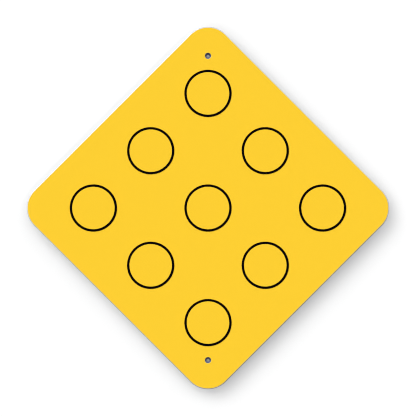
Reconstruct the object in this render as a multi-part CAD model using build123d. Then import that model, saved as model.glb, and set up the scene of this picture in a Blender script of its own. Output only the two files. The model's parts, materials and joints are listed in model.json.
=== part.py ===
from build123d import *
import math
import os

# A diamond-shaped object marker: an aluminium blank faced with yellow retroreflective sheeting, and nine
# yellow reflector discs with black borders in a grid that runs along the sides of the diamond.
# Millimetres, +Z up. The face looks towards -Y and the back of the blank lies on y = 0. The origin is
# midway between the two bolt holes, which is also the centre of the diamond.

INCH = 25.4

# Blank
sign_side = 18 * INCH  # between the sharp corners that the rounding cuts off
corner_radius = 42.0
blank_thickness = 0.080 * INCH
edge_round = 1.4  # rolled front edge
edge_break = 0.25  # deburred back edge and back hole rims
largest_round_share = 0.7  # no front rounding or lip takes more than this share of the blank's thickness
largest_break_share = 0.2  # no deburred edge takes more than this share of it

# Bolt holes, one near the top corner and one near the bottom corner
bolt_hole_count = 2
bolt_hole_diameter = 13 / 32 * INCH  # free fit for a 3/8 inch bolt
bolt_hole_tip_distance = 49.1  # from the rounded tip of the corner to the centre of the hole
hole_lip = 0.2  # rim drawn in by the punch on the front

# Sheeting
adhesive_thickness = 0.05
sheeting_thickness = 0.25
trim_clearance = 0.1  # between the cut edge of the sheeting and the start of the rolled edge

# Reflector discs, named by their places on the upright sign, in rows along the panel's own axes
disc_rows = (
    ("bottom", "lower_left", "left"),
    ("lower_right", "centre", "upper_left"),
    ("right", "upper_right", "top"),
)
disc_side_distance = 91.9  # from the side of the sign to the centres of the nearest discs
border_diameter = 75.7  # at the middle of the black line
border_width = 4.2
disc_thickness = 0.25
ink_thickness = 0.03

# Sizes that follow from the ones above
largest_round = largest_round_share * blank_thickness
front_round = min(edge_round, largest_round)
front_lip = min(hole_lip, largest_round)
back_break = min(edge_break, largest_break_share * blank_thickness)
tip_distance = sign_side / math.sqrt(2) - corner_radius * (math.sqrt(2) - 1)
bolt_hole_offset = tip_distance - bolt_hole_tip_distance
disc_pitch = (sign_side - 2 * disc_side_distance) / (len(disc_rows) - 1)
disc_diameter = border_diameter + border_width
sheeting_inset = front_round + trim_clearance
sheeting_hole_radius = bolt_hole_diameter / 2 + front_lip

# Heights of the layers in front of the back face
sheeting_level = blank_thickness + adhesive_thickness
face_level = sheeting_level + sheeting_thickness
disc_level = face_level + adhesive_thickness
ink_level = disc_level + disc_thickness

# The panel's own axes run along its sides: x to the upper right, y to the upper left, z out of the face
panel = Plane(origin=(0, 0, 0), x_dir=(1, 0, 1), z_dir=(0, -1, 0))
top_corner_angle = 45  # from the panel's own x axis
bolt_holes = PolarLocations(bolt_hole_offset, bolt_hole_count, start_angle=top_corner_angle)
disc_grid = GridLocations(disc_pitch, disc_pitch, len(disc_rows), len(disc_rows))


def panel_outline(inset, hole_radius):
    side = sign_side - 2 * inset
    return RectangleRounded(side, side, corner_radius - inset) - bolt_holes * Circle(hole_radius)


def layer(outline, level, thickness):
    return extrude(panel.offset(level) * outline, thickness)


def make_blank():
    blank = layer(panel_outline(0, bolt_hole_diameter / 2), 0, blank_thickness)
    blank = fillet(front_face(blank).outer_wire().edges(), front_round)
    blank = chamfer(front_face(blank).inner_wires().edges(), front_lip)
    return chamfer(back_face(blank).edges(), back_break)


def front_face(part):
    return part.faces().sort_by(Axis.Y)[0]


def back_face(part):
    return part.faces().sort_by(Axis.Y)[-1]


def make_sheeting(level, thickness):
    return layer(panel_outline(sheeting_inset, sheeting_hole_radius), level, thickness)


def make_disc(place, level, thickness):
    return layer(place * Circle(disc_diameter / 2), level, thickness)


def make_border(place):
    ring = Circle(disc_diameter / 2) - Circle(disc_diameter / 2 - border_width)
    return layer(place * ring, ink_level, ink_thickness)


pieces = {
    "sign_blank": make_blank(),
    "sheeting_adhesive": make_sheeting(blank_thickness, adhesive_thickness),
    "panel_sheeting": make_sheeting(sheeting_level, sheeting_thickness),
    "disc_adhesive": Compound([make_disc(place, face_level, adhesive_thickness) for place in disc_grid]),
    "black_borders": Compound([make_border(place) for place in disc_grid]),
}
for name, place in zip(sum(disc_rows, ()), disc_grid):
    pieces["reflector_disc_" + name] = make_disc(place, disc_level, disc_thickness)

os.makedirs("parts", exist_ok=True)
for name, piece in pieces.items():
    piece.label = name
    export_step(piece, os.path.join("parts", name + ".step"))
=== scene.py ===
import bmesh
import bpy
import json
import math
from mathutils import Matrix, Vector


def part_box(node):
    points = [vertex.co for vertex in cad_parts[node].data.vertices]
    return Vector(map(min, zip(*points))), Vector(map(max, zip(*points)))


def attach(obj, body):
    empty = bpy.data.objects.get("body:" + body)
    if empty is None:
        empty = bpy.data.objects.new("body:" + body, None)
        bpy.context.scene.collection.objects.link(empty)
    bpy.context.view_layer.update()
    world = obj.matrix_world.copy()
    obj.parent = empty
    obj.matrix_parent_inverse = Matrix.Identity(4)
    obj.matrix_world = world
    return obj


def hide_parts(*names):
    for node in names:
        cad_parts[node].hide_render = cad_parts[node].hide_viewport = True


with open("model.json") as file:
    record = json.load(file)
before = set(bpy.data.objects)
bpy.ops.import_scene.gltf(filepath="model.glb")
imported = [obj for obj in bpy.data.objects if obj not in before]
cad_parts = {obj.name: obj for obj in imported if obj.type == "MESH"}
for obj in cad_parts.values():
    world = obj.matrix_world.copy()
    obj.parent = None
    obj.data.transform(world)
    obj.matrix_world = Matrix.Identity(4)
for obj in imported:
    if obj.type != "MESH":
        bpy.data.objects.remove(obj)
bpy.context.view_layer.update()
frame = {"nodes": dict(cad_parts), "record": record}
mm = 0.001
diamondTurn = math.radians(45)  # the panel is a square that stands on one corner
flatFacing = 0.9999  # y of a normal, past which a face lies in the plane of the panel and is shaded flat
factorIn, numberFrom, numberTo = 0, 2, 3  # sockets of a mix of numbers
colourFrom, colourTo, colourOut = 6, 7, 2  # sockets of a mix of colours
print("frame loaded with", len(frame["nodes"]), "nodes")


def hexToLinear(code):
    channels = [int(code[i:i + 2], 16) / 255 for i in (1, 3, 5)]
    return [c / 12.92 if c <= 0.04045 else ((c + 0.055) / 1.055) ** 2.4 for c in channels] + [1]


def addNode(tree, kind, inputs=None, **settings):
    node = tree.nodes.new(kind)
    for name, value in settings.items():
        setattr(node, name, value)
    for key, value in (inputs or {}).items():
        if isinstance(value, bpy.types.NodeSocket):
            tree.links.new(value, node.inputs[key])
        else:
            node.inputs[key].default_value = value
    return node


def emptyTree(owner):
    owner.use_nodes = True
    owner.node_tree.nodes.clear()
    return owner.node_tree


def startMaterial(name, surface):
    material = bpy.data.materials.new(name)
    tree = emptyTree(material)
    shader = addNode(tree, "ShaderNodeBsdfPrincipled", surface)
    addNode(tree, "ShaderNodeOutputMaterial", {"Surface": shader.outputs[0]})
    place = addNode(tree, "ShaderNodeTexCoord").outputs["Object"]
    return material, tree, shader.inputs, place


def endMaterial(tree, surface, tint, polish, relief):
    tree.links.new(tint.outputs[colourOut], surface["Base Color"])
    tree.links.new(polish.outputs[0], surface["Roughness"])
    tree.links.new(relief.outputs[0], surface["Normal"])


def startTree(name, sizes):
    tree = bpy.data.node_groups.new(name, "GeometryNodeTree")
    tree.interface.new_socket("Geometry", in_out="OUTPUT", socket_type="NodeSocketGeometry")
    for label, value in sizes.items():
        kind = {float: "NodeSocketFloat", int: "NodeSocketInt"}.get(type(value), "NodeSocketMaterial")
        tree.interface.new_socket(label, in_out="INPUT", socket_type=kind)
    return tree, addNode(tree, "NodeGroupInput").outputs


def endTree(tree, shape, material):
    real = addNode(tree, "GeometryNodeRealizeInstances", {"Geometry": shape})
    dressed = addNode(tree, "GeometryNodeSetMaterial", {"Geometry": real.outputs[0], "Material": material})
    addNode(tree, "NodeGroupOutput", {"Geometry": dressed.outputs[0]})


def meshFromTree(name, tree, sizes, sharpDeg):
    piece = bpy.data.objects.new(name, bpy.data.meshes.new(name))
    bpy.context.scene.collection.objects.link(piece)
    modifier = piece.modifiers.new(name, "NODES")
    modifier.node_group = tree
    for item in tree.interface.items_tree:
        if item.in_out == "INPUT":
            modifier[item.identifier] = sizes[item.name]
    mesh = bpy.data.meshes.new_from_object(piece.evaluated_get(bpy.context.evaluated_depsgraph_get()))
    piece.modifiers.remove(modifier)
    piece.data = mesh
    shell = bmesh.new()
    shell.from_mesh(mesh)
    bmesh.ops.recalc_face_normals(shell, faces=shell.faces)
    shell.to_mesh(mesh)
    shell.free()
    mesh.set_sharp_from_angle(angle=math.radians(sharpDeg))
    for face in mesh.polygons:
        face.use_smooth = abs(face.normal.y) < flatFacing
    print(name, "made with", len(mesh.polygons), "faces")
    return piece


# Camera, straight on and level with the middle of the sign
photoView = {
    "framePx": 416,
    "facePx": 360.75,  # yellow face from its left tip to its right tip
    "lensMm": 85,
    "sensorMm": 36,
    "filterPx": 1.1,  # width of the pixel filter, for lines as crisp as the photo's
}
faceLow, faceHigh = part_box("panel_sheeting")
frameWidth = (faceHigh[0] - faceLow[0]) * photoView["framePx"] / photoView["facePx"]
camera = bpy.data.objects.new("camera", bpy.data.cameras.new("camera"))
camera.data.lens = photoView["lensMm"]
camera.data.sensor_width = photoView["sensorMm"]
camera.location = (0, faceLow[1] - frameWidth * photoView["lensMm"] / photoView["sensorMm"], 0)
camera.rotation_euler = (math.pi / 2, 0, 0)
bpy.context.scene.collection.objects.link(camera)
bpy.context.scene.camera = camera
bpy.context.scene.view_settings.view_transform = "Standard"
bpy.context.scene.cycles.filter_width = photoView["filterPx"]
print("camera placed", round(-camera.location.y, 3), "m in front")


# Acrylic film over glass beads, cast and roll-laminated: an even yellow under a smooth wet-looking skin, with
# a fine bead grain close to and slow waves in its reflections
panelFilm = {
    "yellow": "#F6C92E",
    "beadYellow": "#ECBF24",
    "ior": 1.49,
    "roughness": (0.15, 0.22),
    "beadMm": 1.2,  # real beads are 0.06 mm, drawn coarser so that they show
    "beadDetail": 1.5,
    "beadSpread": (0.3, 0.7),  # of the noise, from one yellow to the other
    "beadDepthMm": 0.003,
    "waveMm": 60,  # left by the laminating roll
    "waveDetail": 1.0,
    "waveDepthMm": 0.12,
}


def makePanelFilm(name, film):
    material, tree, surface, place = startMaterial(name, {"IOR": film["ior"]})
    beads = addNode(tree, "ShaderNodeTexNoise", {
        "Vector": place, "Scale": 1 / (film["beadMm"] * mm), "Detail": film["beadDetail"]}).outputs["Fac"]
    waves = addNode(tree, "ShaderNodeTexNoise", {
        "Vector": place, "Scale": 1 / (film["waveMm"] * mm), "Detail": film["waveDetail"]}).outputs["Fac"]
    grains = addNode(tree, "ShaderNodeMapRange", {
        "Value": beads, "From Min": film["beadSpread"][0], "From Max": film["beadSpread"][1]}).outputs[0]
    tint = addNode(tree, "ShaderNodeMix", {
        factorIn: grains, colourFrom: hexToLinear(film["yellow"]),
        colourTo: hexToLinear(film["beadYellow"])}, data_type="RGBA")
    polish = addNode(tree, "ShaderNodeMapRange", {
        "Value": grains, "To Min": film["roughness"][0], "To Max": film["roughness"][1]})
    swell = addNode(tree, "ShaderNodeBump", {"Distance": film["waveDepthMm"] * mm, "Height": waves})
    relief = addNode(tree, "ShaderNodeBump", {
        "Distance": film["beadDepthMm"] * mm, "Height": beads, "Normal": swell.outputs[0]})
    endMaterial(tree, surface, tint, polish, relief)
    return material


# The same yellow film with its beads sealed in cells: smooth and glossy, with a faint net of sealing lines
discFilm = {
    "yellow": "#F2C52A",
    "sealYellow": "#EFC228",
    "ior": 1.49,
    "roughness": (0.12, 0.2),
    "cellMm": 4.0,
    "cellJitter": 0.0,  # the cells are square
    "sealMm": 0.9,  # real lines are 0.4 mm, drawn wider so that they show
    "sealDepthMm": 0.01,
}


def makeDiscFilm(name, film):
    material, tree, surface, place = startMaterial(name, {"IOR": film["ior"]})
    turned = addNode(tree, "ShaderNodeMapping", {"Vector": place, "Rotation": (0, diamondTurn, 0)})
    cells = addNode(tree, "ShaderNodeTexVoronoi", {
        "Vector": turned.outputs[0], "Scale": 1 / (film["cellMm"] * mm), "Randomness": film["cellJitter"]},
        feature="DISTANCE_TO_EDGE")
    seals = addNode(tree, "ShaderNodeMapRange", {
        "Value": cells.outputs["Distance"], "From Min": 0.0, "From Max": film["sealMm"] / film["cellMm"],
        "To Min": 1.0, "To Max": 0.0}, interpolation_type="SMOOTHSTEP").outputs[0]
    tint = addNode(tree, "ShaderNodeMix", {
        factorIn: seals, colourFrom: hexToLinear(film["yellow"]),
        colourTo: hexToLinear(film["sealYellow"])}, data_type="RGBA")
    polish = addNode(tree, "ShaderNodeMapRange", {
        "Value": seals, "To Min": film["roughness"][0], "To Max": film["roughness"][1]})
    relief = addNode(tree, "ShaderNodeBump", {
        "Distance": film["sealDepthMm"] * mm, "Height": seals}, invert=True)
    endMaterial(tree, surface, tint, polish, relief)
    return material


# Solvent ink, screen-printed: a dense black film with a low satin sheen and the faint weave of the screen
screenInk = {
    "black": "#010102",
    "threadBlack": "#030304",
    "ior": 1.45,
    "specular": 0.06,  # the pigment dulls the skin
    "roughness": (0.26, 0.36),
    "threadMm": 1.0,  # real screen threads are 0.1 mm apart, drawn coarser so that they show
    "threadJitter": 0.25,
    "threadDepthMm": 0.004,
}


def makeScreenInk(name, ink):
    material, tree, surface, place = startMaterial(name, {
        "IOR": ink["ior"], "Specular IOR Level": ink["specular"]})
    weave = addNode(tree, "ShaderNodeTexVoronoi", {
        "Vector": place, "Scale": 1 / (ink["threadMm"] * mm),
        "Randomness": ink["threadJitter"]}).outputs["Distance"]
    tint = addNode(tree, "ShaderNodeMix", {
        factorIn: weave, colourFrom: hexToLinear(ink["black"]),
        colourTo: hexToLinear(ink["threadBlack"])}, data_type="RGBA")
    polish = addNode(tree, "ShaderNodeMapRange", {
        "Value": weave, "To Min": ink["roughness"][0], "To Max": ink["roughness"][1]})
    relief = addNode(tree, "ShaderNodeBump", {"Distance": ink["threadDepthMm"] * mm, "Height": weave})
    endMaterial(tree, surface, tint, polish, relief)
    return material


# Aluminium sheet, mill finish from the rolls: a soft pale shine drawn out along the rolling direction, duller
# where it was handled, and a rim painted a darker grey, painted shade that makes the rolled-over edge read as
# a dark line, with drag lines where its edge was rolled over
millSheet = {
    "paleGrey": "#E3E4E5",
    "darkGrey": "#D3D5D7",
    # painted shade: the rim's grey is darker than the sheet so that its edge reads as a dark line
    "rimShadeGrey": "#9EA0A2",
    "roughness": (0.3, 0.42),
    "rimRoughness": (0.26, 0.4),
    "rimFacing": (0.8, 0.995),  # y of the normal where all is rim and where all is flat sheet
    "lineMm": (1.6, 320),  # a roll line's width and length; real ones are 0.3 mm wide, drawn coarser to show
    "lineDetail": 2.0,
    "lineDepthMm": 0.0015,
    "bandMm": (20, 1400),  # broad bands left by the rolls
    "bandDetail": 1.0,
    "smudgeMm": 130,
    "smudgeDetail": 2.0,
    "dragMm": (1.2, 10),  # a drag line's width and length; real ones are 0.2 mm wide, drawn coarser to show
    "dragDetail": 2.0,
    "grainSpread": (0.7, 1.3),  # of lines and bands added up, from dark to pale
    "dullSpread": (1.1, 1.9),  # of lines, bands and smudges added up, from shiny to dull
    "dragSpread": (0.3, 0.7),
}


def makeMillSheet(name, sheet):
    material, tree, surface, place = startMaterial(name, {"Metallic": 1.0})

    def stretched(width, length, detail):
        drawn = addNode(tree, "ShaderNodeMapping", {
            "Vector": place, "Rotation": (0, diamondTurn, 0),
            "Scale": (length * mm, length * mm, width * mm)}, vector_type="TEXTURE")
        return addNode(tree, "ShaderNodeTexNoise", {
            "Vector": drawn.outputs[0], "Scale": 1.0, "Detail": detail}).outputs["Fac"]

    lines = stretched(*sheet["lineMm"], sheet["lineDetail"])
    bands = stretched(*sheet["bandMm"], sheet["bandDetail"])
    smudges = addNode(tree, "ShaderNodeTexNoise", {
        "Vector": place, "Scale": 1 / (sheet["smudgeMm"] * mm),
        "Detail": sheet["smudgeDetail"]}).outputs["Fac"]
    grain = addNode(tree, "ShaderNodeMath", {0: lines, 1: bands}, operation="ADD").outputs[0]
    dull = addNode(tree, "ShaderNodeMath", {0: grain, 1: smudges}, operation="ADD").outputs[0]
    facing = addNode(tree, "ShaderNodeSeparateXYZ", {
        "Vector": addNode(tree, "ShaderNodeNewGeometry").outputs["True Normal"]}).outputs["Y"]
    slope = addNode(tree, "ShaderNodeMath", {0: facing}, operation="ABSOLUTE").outputs[0]
    rim = addNode(tree, "ShaderNodeMapRange", {
        "Value": slope, "From Min": sheet["rimFacing"][0], "From Max": sheet["rimFacing"][1],
        "To Min": 1.0, "To Max": 0.0}).outputs[0]
    dragWidth, dragLength = sheet["dragMm"]
    dragPlace = addNode(tree, "ShaderNodeMapping", {
        "Vector": place, "Scale": (dragWidth * mm, dragLength * mm, dragWidth * mm)}, vector_type="TEXTURE")
    drag = addNode(tree, "ShaderNodeTexNoise", {
        "Vector": dragPlace.outputs[0], "Scale": 1.0, "Detail": sheet["dragDetail"]}).outputs["Fac"]
    shade = addNode(tree, "ShaderNodeMapRange", {
        "Value": grain, "From Min": sheet["grainSpread"][0], "From Max": sheet["grainSpread"][1]})
    flatTint = addNode(tree, "ShaderNodeMix", {
        factorIn: shade.outputs[0], colourFrom: hexToLinear(sheet["darkGrey"]),
        colourTo: hexToLinear(sheet["paleGrey"])}, data_type="RGBA")
    # painted shade: where the normal turns away from the face, the colour goes to the darker rim grey
    tint = addNode(tree, "ShaderNodeMix", {
        factorIn: rim, colourFrom: flatTint.outputs[colourOut],
        colourTo: hexToLinear(sheet["rimShadeGrey"])}, data_type="RGBA")
    flatPolish = addNode(tree, "ShaderNodeMapRange", {
        "Value": dull, "From Min": sheet["dullSpread"][0], "From Max": sheet["dullSpread"][1],
        "To Min": sheet["roughness"][0], "To Max": sheet["roughness"][1]})
    rimPolish = addNode(tree, "ShaderNodeMapRange", {
        "Value": drag, "From Min": sheet["dragSpread"][0], "From Max": sheet["dragSpread"][1],
        "To Min": sheet["rimRoughness"][0], "To Max": sheet["rimRoughness"][1]})
    polish = addNode(tree, "ShaderNodeMix", {
        factorIn: rim, numberFrom: flatPolish.outputs[0], numberTo: rimPolish.outputs[0]})
    height = addNode(tree, "ShaderNodeMix", {factorIn: rim, numberFrom: lines, numberTo: drag})
    relief = addNode(tree, "ShaderNodeBump", {
        "Distance": sheet["lineDepthMm"] * mm, "Height": height.outputs[0]})
    endMaterial(tree, surface, tint, polish, relief)
    return material


# Acrylic pressure-sensitive adhesive, coated: a milky film, tacky and slightly rippled
adhesiveCoat = {
    "clear": "#E3DFCB",
    "cloudy": "#D6D0B6",
    "ior": 1.47,
    "roughness": (0.3, 0.5),
    "rippleMm": 8,
    "rippleDetail": 2.0,
    "rippleDepthMm": 0.01,
}


def makeAdhesive(name, coat):
    material, tree, surface, place = startMaterial(name, {"IOR": coat["ior"]})
    ripple = addNode(tree, "ShaderNodeTexNoise", {
        "Vector": place, "Scale": 1 / (coat["rippleMm"] * mm), "Detail": coat["rippleDetail"]}).outputs["Fac"]
    tint = addNode(tree, "ShaderNodeMix", {
        factorIn: ripple, colourFrom: hexToLinear(coat["clear"]),
        colourTo: hexToLinear(coat["cloudy"])}, data_type="RGBA")
    polish = addNode(tree, "ShaderNodeMapRange", {
        "Value": ripple, "To Min": coat["roughness"][0], "To Max": coat["roughness"][1]})
    relief = addNode(tree, "ShaderNodeBump", {"Distance": coat["rippleDepthMm"] * mm, "Height": ripple})
    endMaterial(tree, surface, tint, polish, relief)
    return material


sheetingMaterial = makePanelFilm("beadedAcrylicFilmLaminated", panelFilm)
discMaterial = makeDiscFilm("cellularAcrylicFilmSealed", discFilm)
inkMaterial = makeScreenInk("solventInkScreenPrinted", screenInk)
sheetMaterial = makeMillSheet("aluminiumSheetMillRolled", millSheet)
adhesiveMaterial = makeAdhesive("acrylicAdhesiveCoated", adhesiveCoat)
print("materials made")


# Panel layers: a rounded diamond with two bolt holes. Its edge is swept round the rim and round each hole,
# and the front and the back are then filled
blankSheet = {
    "frontRoundMm": 1.4,  # rolled over
    "backRoundMm": 0.25,  # deburred
    "holeLipMm": 0.2,  # drawn in by the punch
    "cornerSteps": 48,
    "holeSteps": 72,
    "roundSteps": 8,
    "sharpDeg": 40,  # edges that turn by more stay sharp
}
faceSheet = {
    "frontRoundMm": 0.06,  # pressed by the cutter
    "backRoundMm": 0.02,
    "holeLipMm": 0.06,
    "cornerSteps": 48,
    "holeSteps": 72,
    "roundSteps": 4,
    "sharpDeg": 40,
}
weldMm = 0.001  # points nearer than this are one
postBolts = next(m for m in frame["record"]["mounts"] if m["name"] == "post_bolts")
holeOffset = postBolts["dims"]["spacing_y_mm"] * mm / 2


# A quarter round at the back and one at the front, strung into one line in the order of their heights. A way
# of -1 turns the line over, for a hole
def edgeProfile(tree, size, backRound, frontRound, way):
    both = addNode(tree, "GeometryNodeJoinGeometry")
    for radius, level, start in ((backRound, None, -math.pi / 2), (frontRound, size["Thickness"], 0.0)):
        arc = addNode(tree, "GeometryNodeCurveArc", {
            "Resolution": size["Round Steps"], "Radius": radius, "Start Angle": start,
            "Sweep Angle": math.pi / 2})
        inset = addNode(tree, "ShaderNodeMath", {0: radius, 1: -1.0}, operation="MULTIPLY").outputs[0]
        rise = radius
        if level is not None:
            rise = addNode(tree, "ShaderNodeMath", {0: level, 1: radius}, operation="SUBTRACT").outputs[0]
        shift = addNode(tree, "ShaderNodeCombineXYZ", {"X": inset, "Y": rise})
        corner = addNode(tree, "GeometryNodeTransform", {
            "Geometry": arc.outputs["Curve"], "Translation": shift.outputs[0]})
        tree.links.new(corner.outputs[0], both.inputs["Geometry"])
    points = addNode(tree, "GeometryNodeCurveToPoints", {"Curve": both.outputs[0]}, mode="EVALUATED")
    height = addNode(tree, "ShaderNodeSeparateXYZ", {
        "Vector": addNode(tree, "GeometryNodeInputPosition").outputs[0]})
    line = addNode(tree, "GeometryNodePointsToCurves", {
        "Points": points.outputs["Points"], "Weight": height.outputs["Y"]})
    return addNode(tree, "GeometryNodeTransform", {
        "Geometry": line.outputs[0], "Scale": (way, 1, 1)}).outputs[0]


def growPanelTree(sizes):
    tree, size = startTree("panelLayerTree", sizes)
    square = addNode(tree, "GeometryNodeCurvePrimitiveQuadrilateral", {
        "Width": size["Side"], "Height": size["Side"]})
    rounded = addNode(tree, "GeometryNodeFilletCurve", {
        "Curve": square.outputs[0], "Radius": size["Corner Radius"],
        "Count": size["Corner Steps"]}, mode="POLY")
    diamond = addNode(tree, "GeometryNodeTransform", {
        "Geometry": rounded.outputs[0], "Rotation": (0, 0, diamondTurn)})
    rim = addNode(tree, "GeometryNodeCurveToMesh", {
        "Curve": diamond.outputs[0],
        "Profile Curve": edgeProfile(tree, size, size["Back Round"], size["Front Round"], 1)})
    hole = addNode(tree, "GeometryNodeCurvePrimitiveCircle", {
        "Resolution": size["Hole Steps"], "Radius": size["Hole Radius"]})
    holeWall = addNode(tree, "GeometryNodeCurveToMesh", {
        "Curve": hole.outputs[0],
        "Profile Curve": edgeProfile(tree, size, size["Back Round"], size["Hole Lip"], -1)})
    walls = addNode(tree, "GeometryNodeJoinGeometry", {"Geometry": rim.outputs[0]})
    for way in (1, -1):
        reach = addNode(tree, "ShaderNodeMath", {0: size["Hole Offset"], 1: way}, operation="MULTIPLY")
        shift = addNode(tree, "ShaderNodeCombineXYZ", {"Y": reach.outputs[0]})
        moved = addNode(tree, "GeometryNodeTransform", {
            "Geometry": holeWall.outputs[0], "Translation": shift.outputs[0]})
        tree.links.new(moved.outputs[0], walls.inputs["Geometry"])
    # An edge with one face is open: those nearer the front are filled as the front, the others as the back
    edgeFaces = addNode(tree, "GeometryNodeInputMeshEdgeNeighbors")
    openEdge = addNode(tree, "FunctionNodeCompare", {2: edgeFaces.outputs[0], 3: 1},
                       data_type="INT", operation="EQUAL")  # its sockets 2 and 3 take whole numbers
    depth = addNode(tree, "ShaderNodeSeparateXYZ", {
        "Vector": addNode(tree, "GeometryNodeInputPosition").outputs[0]})
    front = addNode(tree, "ShaderNodeMath", {0: size["Thickness"], 1: -1.0}, operation="MULTIPLY").outputs[0]
    middle = addNode(tree, "ShaderNodeMath", {0: front, 1: 0.5}, operation="MULTIPLY").outputs[0]
    parts = addNode(tree, "GeometryNodeJoinGeometry", {"Geometry": walls.outputs[0]})
    for side, level in (("LESS_THAN", front), ("GREATER_THAN", None)):
        near = addNode(tree, "FunctionNodeCompare", {0: depth.outputs["Z"], 1: middle}, operation=side)
        chosen = addNode(tree, "FunctionNodeBooleanMath", {0: openEdge.outputs[0], 1: near.outputs[0]})
        loops = addNode(tree, "GeometryNodeMeshToCurve", {
            "Mesh": walls.outputs[0], "Selection": chosen.outputs[0]})
        fill = addNode(tree, "GeometryNodeFillCurve", {"Curve": loops.outputs[0]})
        shift = addNode(tree, "ShaderNodeCombineXYZ", {"Z": level} if level else {})
        moved = addNode(tree, "GeometryNodeTransform", {
            "Geometry": fill.outputs[0], "Translation": shift.outputs[0]})
        tree.links.new(moved.outputs[0], parts.inputs["Geometry"])
    whole = addNode(tree, "GeometryNodeMergeByDistance", {
        "Geometry": parts.outputs[0], "Distance": weldMm * mm})
    lift = addNode(tree, "ShaderNodeMath", {0: size["Level"], 1: -1.0}, operation="MULTIPLY")
    shift = addNode(tree, "ShaderNodeCombineXYZ", {"Y": lift.outputs[0]})
    standing = addNode(tree, "GeometryNodeTransform", {
        "Geometry": whole.outputs[0], "Translation": shift.outputs[0], "Rotation": (-math.pi / 2, 0, 0)})
    endTree(tree, standing.outputs[0], size["Material"])
    return tree


def layerSizes(node, layer, material):
    low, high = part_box(node)
    corners = [vertex.co for vertex in frame["nodes"][node].data.vertices]
    sharpTip = max(abs(c.x) + abs(c.z) for c in corners)  # where the sides would meet with no rounding
    return {
        "Side": sharpTip * math.sqrt(2),
        "Corner Radius": (sharpTip - high[0]) / (math.sqrt(2) - 1),
        "Thickness": high[1] - low[1],
        "Level": -high[1],
        "Front Round": layer["frontRoundMm"] * mm,
        "Back Round": layer["backRoundMm"] * mm,
        "Hole Radius": min(math.hypot(c.x, c.z - holeOffset) for c in corners),
        "Hole Lip": layer["holeLipMm"] * mm,
        "Hole Offset": holeOffset,
        "Corner Steps": layer["cornerSteps"],
        "Hole Steps": layer["holeSteps"],
        "Round Steps": layer["roundSteps"],
        "Material": material,
    }


blankSizes = layerSizes("sign_blank", blankSheet, sheetMaterial)
panelTree = growPanelTree(blankSizes)
blank = meshFromTree("aluminium_blank", panelTree, blankSizes, blankSheet["sharpDeg"])
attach(blank, "root")
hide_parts("sign_blank")

faceSizes = layerSizes("panel_sheeting", faceSheet, sheetingMaterial)
sheeting = meshFromTree("yellow_face", panelTree, faceSizes, faceSheet["sharpDeg"])
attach(sheeting, "root")
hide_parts("panel_sheeting")


# Black borders: one printed ring, repeated on a grid that is turned with the panel
inkRing = {
    "edgeRoundMm": 0.012,  # ink draws in at its edges as it dries
    "rowsOfRings": 3,
    "ringSteps": 144,
    "edgeSteps": 3,
    "sharpDeg": 20,
}


def growRingTree(sizes):
    tree, size = startTree("inkRingTree", sizes)
    section = addNode(tree, "GeometryNodeCurvePrimitiveQuadrilateral", {
        "Width": size["Line Width"], "Height": size["Ink Height"]})
    softened = addNode(tree, "GeometryNodeFilletCurve", {
        "Curve": section.outputs[0], "Radius": size["Edge Round"], "Count": size["Edge Steps"]}, mode="POLY")
    circle = addNode(tree, "GeometryNodeCurvePrimitiveCircle", {
        "Resolution": size["Ring Steps"], "Radius": size["Ring Radius"]})
    ring = addNode(tree, "GeometryNodeCurveToMesh", {
        "Curve": circle.outputs[0], "Profile Curve": softened.outputs[0]})
    grid = addNode(tree, "GeometryNodeMeshGrid", {
        "Size X": size["Grid Side"], "Size Y": size["Grid Side"],
        "Vertices X": size["Rows"], "Vertices Y": size["Rows"]})
    turned = addNode(tree, "GeometryNodeTransform", {
        "Geometry": grid.outputs[0], "Rotation": (0, 0, diamondTurn)})
    rings = addNode(tree, "GeometryNodeInstanceOnPoints", {
        "Points": turned.outputs[0], "Instance": ring.outputs[0]})
    lift = addNode(tree, "ShaderNodeMath", {0: size["Level"], 1: -1.0}, operation="MULTIPLY")
    shift = addNode(tree, "ShaderNodeCombineXYZ", {"Y": lift.outputs[0]})
    standing = addNode(tree, "GeometryNodeTransform", {
        "Geometry": rings.outputs[0], "Translation": shift.outputs[0], "Rotation": (-math.pi / 2, 0, 0)})
    endTree(tree, standing.outputs[0], size["Material"])
    return tree


ringLow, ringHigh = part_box("black_borders")
discLow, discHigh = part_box("reflector_disc_centre")
discRadius = (discHigh[0] - discLow[0]) / 2
innerRadius = min(math.hypot(v.co.x, v.co.z) for v in frame["nodes"]["black_borders"].data.vertices)
outerReach = ringHigh[0] - discRadius  # from the middle of the sign to the middle of a corner disc
ringSizes = {
    "Ring Radius": (discRadius + innerRadius) / 2,
    "Line Width": discRadius - innerRadius,
    "Ink Height": ringHigh[1] - ringLow[1],
    "Edge Round": inkRing["edgeRoundMm"] * mm,
    "Grid Side": outerReach * math.sqrt(2),
    "Level": -(ringHigh[1] + ringLow[1]) / 2,
    "Rows": inkRing["rowsOfRings"],
    "Ring Steps": inkRing["ringSteps"],
    "Edge Steps": inkRing["edgeSteps"],
    "Material": inkMaterial,
}
borders = meshFromTree("black_ink_borders", growRingTree(ringSizes), ringSizes, inkRing["sharpDeg"])
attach(borders, "root")
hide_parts("black_borders")

# The discs and the adhesive keep their CAD meshes
dress = {"reflector": discMaterial, "sheeting_adhesive": adhesiveMaterial, "disc_adhesive": adhesiveMaterial}
for start, material in dress.items():
    for name, node in frame["nodes"].items():
        if name.startswith(start):
            node.data.materials.clear()
            node.data.materials.append(material)
print("panel, borders and discs dressed")
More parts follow.
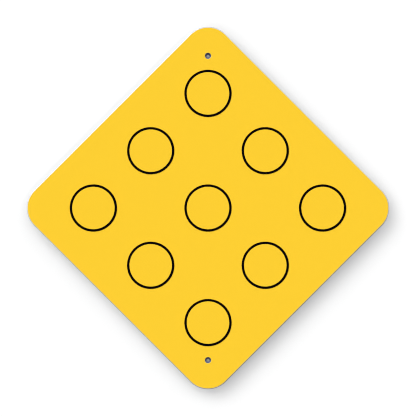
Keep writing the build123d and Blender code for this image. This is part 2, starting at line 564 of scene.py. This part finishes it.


# Studio: a white wall behind the sign that catches its soft shadow, a white collar round the wall that hides
# the shadow in side views, a white floor, and behind each bolt hole three cards that paint the shading seen
# through it: a dark card, painted shade where the rim of the hole would shade it, a grey one below and a pale
# one in the middle, painted light. The camera alone sees them, each from one side alone, so the back of the
# sign is lit as freely as its face
studio = {
    "wallGapMm": 15,  # behind the back of the sign
    "wallHalfMm": 450,
    "collarGapMm": 4,  # from the back of the sign to the front of the collar
    "floorDropMm": 500,  # below the middle of the sign
    "floorHalfMm": 20000,
    "wallWhite": "#F4F4F4",
    "paperRoughness": 0.9,
    "panelBlack": "#000000",  # the floor and the collar are light panels, which show their own light alone
    "glow": 1.05,  # as white as the backdrop
    "holeCards": (  # name, radius, drop below the middle of the hole, gap behind the sign and colour
        # the shade card is painted shade, the grey and pale cards are painted light, all seen through the
        # hole
        ("shade", 20, 0, 0.3, "#4C4E60"),
        ("grey", 5.2, 4.0, 0.2, "#6F7489"),
        ("pale", 2.1, 0.3, 0.1, "#919592"),
    ),
    "cardSteps": 48,
}


def makePaper(name, colour, glow=0.0):
    material = bpy.data.materials.new(name)
    tree = emptyTree(material)
    paper = addNode(tree, "ShaderNodeBsdfPrincipled", {
        "Base Color": hexToLinear(colour), "Roughness": studio["paperRoughness"], "Specular IOR Level": 0.0,
        "Emission Color": (1, 1, 1, 1), "Emission Strength": glow})
    clear = addNode(tree, "ShaderNodeBsdfTransparent")
    away = addNode(tree, "ShaderNodeNewGeometry").outputs["Backfacing"]
    sides = addNode(tree, "ShaderNodeMixShader", {0: away, 1: paper.outputs[0], 2: clear.outputs[0]})
    addNode(tree, "ShaderNodeOutputMaterial", {"Surface": sides.outputs[0]})
    return material


def hangPaper(name, corners, sheets, material):
    mesh = bpy.data.meshes.new(name)
    mesh.from_pydata(corners, [], sheets)
    mesh.materials.append(material)
    paper = bpy.data.objects.new(name, mesh)
    bpy.context.scene.collection.objects.link(paper)
    paper.visible_shadow = paper.visible_diffuse = paper.visible_glossy = paper.visible_transmission = False


def ringOfPoints(radius, steps, middleZ, y, start=0.0):
    turns = [start + 2 * math.pi * step / steps for step in range(steps)]
    return [(radius * math.cos(turn), y, middleZ + radius * math.sin(turn)) for turn in turns]


wallCorners = 4
wallReach = studio["wallHalfMm"] * mm * math.sqrt(2)  # from the middle of the wall to its corners
wallBack, wallFront = (ringOfPoints(wallReach, wallCorners, 0, gap * mm, math.pi / wallCorners)
                       for gap in (studio["wallGapMm"], studio["collarGapMm"]))
hangPaper("wall", wallBack, [range(wallCorners)], makePaper("mattWhitePaper", studio["wallWhite"]))

lightPanel = makePaper("backlitWhiteAcrylic", studio["panelBlack"], studio["glow"])
cornerPairs = [(corner, (corner + 1) % wallCorners) for corner in range(wallCorners)]
collarSides = [(a, b, b + wallCorners, a + wallCorners) for a, b in cornerPairs]
hangPaper("collar", wallBack + wallFront, collarSides, lightPanel)

floorZ = -studio["floorDropMm"] * mm
floorHalf = studio["floorHalfMm"] * mm
floorCorners = [(x * floorHalf, y * floorHalf, floorZ) for x, y in ((-1, -1), (1, -1), (1, 1), (-1, 1))]
hangPaper("floor", floorCorners, [range(len(floorCorners))], lightPanel)

# Cards of painted shade and painted light, seen through each bolt hole
for name, radius, drop, gap, colour in studio["holeCards"]:
    card = makePaper(name + "MattCard", colour)
    for place, holeZ in (("upper", holeOffset), ("lower", -holeOffset)):
        outline = ringOfPoints(radius * mm, studio["cardSteps"], holeZ - drop * mm, gap * mm)
        hangPaper(place + "_" + name + "_card", outline, [range(len(outline))], card)


# Light: a sky that falls off from the upper left to the lower right, with soft-edged cards in it, each laid
# over those before it. The camera sees a plain white backdrop in its place
studioLight = {
    "middle": 1.21,  # brightness of the sky halfway down its fall
    "fall": 0.71,  # gained at its brightest side and lost at its darkest
    "fallWay": (-0.38, 0, 0.92),  # towards the brightest side
    "backdrop": 1.05,
    "cards": (  # where each is, how its edge fades, by the cosine off its middle, and its brightness
        ((0.66, -0.34, -0.66), (0.85, 0.95), 0.05),  # black flag, which darkens the lower right rim
        ((0, -1, 0), (0.82, 0.95), 0.22),  # grey card round the camera, which keeps glare off the face
        ((-0.47, -0.45, 0.76), (0.945, 0.995), 5.72),  # long softbox of two cards, which throws the shadow
        ((-0.74, -0.45, 0.49), (0.945, 0.995), 5.72),
        ((0.69, -0.12, 0.70), (0.92, 0.99), 2.4),  # white card, which lights the upper right rim
        ((0, 1, 0), (0.0, 0.8), 0.8),  # dim room behind
        ((0, 0.6, -0.8), (0.3, 0.9), 0.25),  # dark floor behind
        ((0, 0.42, 0.91), (0.8, 0.92), 0.35),  # grey card above, which the upper edges reflect to the side
        ((0.75, 0.66, 0.02), (0.85, 0.98), 1.0),  # softbox behind and to the right, for the bare metal
    ),
}


def makeAir(name, look):
    world = bpy.data.worlds.new(name)
    tree = emptyTree(world)
    way = addNode(tree, "ShaderNodeTexCoord").outputs["Generated"]

    def towards(direction):
        aim = Vector(direction).normalized()
        cosine = addNode(tree, "ShaderNodeVectorMath", {0: way, 1: aim}, operation="DOT_PRODUCT")
        return cosine.outputs["Value"]

    light = addNode(tree, "ShaderNodeMath", {
        0: towards(look["fallWay"]), 1: look["fall"], 2: look["middle"]}, operation="MULTIPLY_ADD").outputs[0]
    for direction, fade, brightness in look["cards"]:
        cover = addNode(tree, "ShaderNodeMapRange", {
            "Value": towards(direction), "From Min": fade[0], "From Max": fade[1]},
            interpolation_type="SMOOTHSTEP").outputs[0]
        light = addNode(tree, "ShaderNodeMix", {
            factorIn: cover, numberFrom: light, numberTo: brightness}).outputs[0]
    seen = addNode(tree, "ShaderNodeLightPath").outputs["Is Camera Ray"]
    strength = addNode(tree, "ShaderNodeMix", {factorIn: seen, numberFrom: light, numberTo: look["backdrop"]})
    air = addNode(tree, "ShaderNodeBackground", {"Color": (1, 1, 1, 1), "Strength": strength.outputs[0]})
    addNode(tree, "ShaderNodeOutputWorld", {"Surface": air.outputs[0]})
    return world


bpy.context.scene.world = makeAir("studioAir", studioLight)
print("studio lit")
